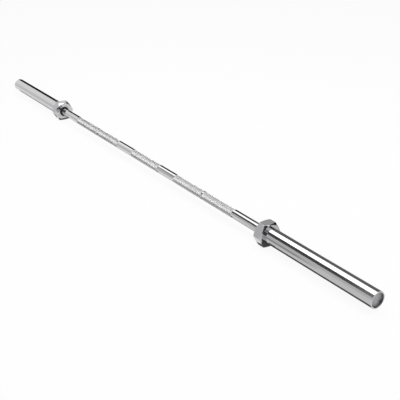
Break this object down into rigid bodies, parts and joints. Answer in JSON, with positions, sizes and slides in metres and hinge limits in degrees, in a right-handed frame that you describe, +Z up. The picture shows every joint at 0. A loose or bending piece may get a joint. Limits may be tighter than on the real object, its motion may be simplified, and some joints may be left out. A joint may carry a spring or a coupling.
{
  "type": "olympic barbell",
  "caption": "Straight chrome barbell with a knurled shaft, ring marks, hexagonal inner collars and turning sleeves for weight plates, closed by sunk end caps.",
  "frame": {"origin": "middle of the shaft, on its axis, which is also the centre of the bar's box", "axes": "+X along the bar towards the right sleeve, +Z up with a flat of each hex collar down, +Y across"},
  "size_m": [2.2, 0.0828, 0.072],
  "materials": {
    "shaft_chrome": "bright chrome, knurled bands",
    "sleeve_chrome": "bright chrome over fine turning marks",
    "collar_chrome": "bright chrome, polished flats",
    "seal_rubber": "matt black rubber",
    "washer_steel": "ground steel",
    "bushing_bronze": "oiled sintered bronze",
    "spring_steel": "bright spring steel",
    "cap_steel": "satin turned steel"
  },
  "bodies": {
    "shaft": {"shaft": "shaft_chrome", "left_shaft_retaining_ring": "spring_steel", "right_shaft_retaining_ring": "spring_steel"},
    "left_sleeve": {"left_sleeve_tube": "sleeve_chrome", "left_hex_collar": "collar_chrome", "left_dust_seal": "seal_rubber", "left_inner_thrust_washer": "washer_steel", "left_inner_bushing": "bushing_bronze", "left_outer_bushing": "bushing_bronze", "left_outer_thrust_washer": "washer_steel", "left_end_cap": "cap_steel", "left_cap_snap_ring": "spring_steel"},
    "right_sleeve": {"right_sleeve_tube": "sleeve_chrome", "right_hex_collar": "collar_chrome", "right_dust_seal": "seal_rubber", "right_inner_thrust_washer": "washer_steel", "right_inner_bushing": "bushing_bronze", "right_outer_bushing": "bushing_bronze", "right_outer_thrust_washer": "washer_steel", "right_end_cap": "cap_steel", "right_cap_snap_ring": "spring_steel"}
  },
  "joints": [
    {"name": "left_sleeve_spin", "type": "hinge", "parent": "shaft", "child": "left_sleeve", "pos_m": [-0.87, 0, 0], "axis": [1, 0, 0], "continuous": true},
    {"name": "right_sleeve_spin", "type": "hinge", "parent": "shaft", "child": "right_sleeve", "pos_m": [0.87, 0, 0], "axis": [1, 0, 0], "continuous": true}
  ]
}
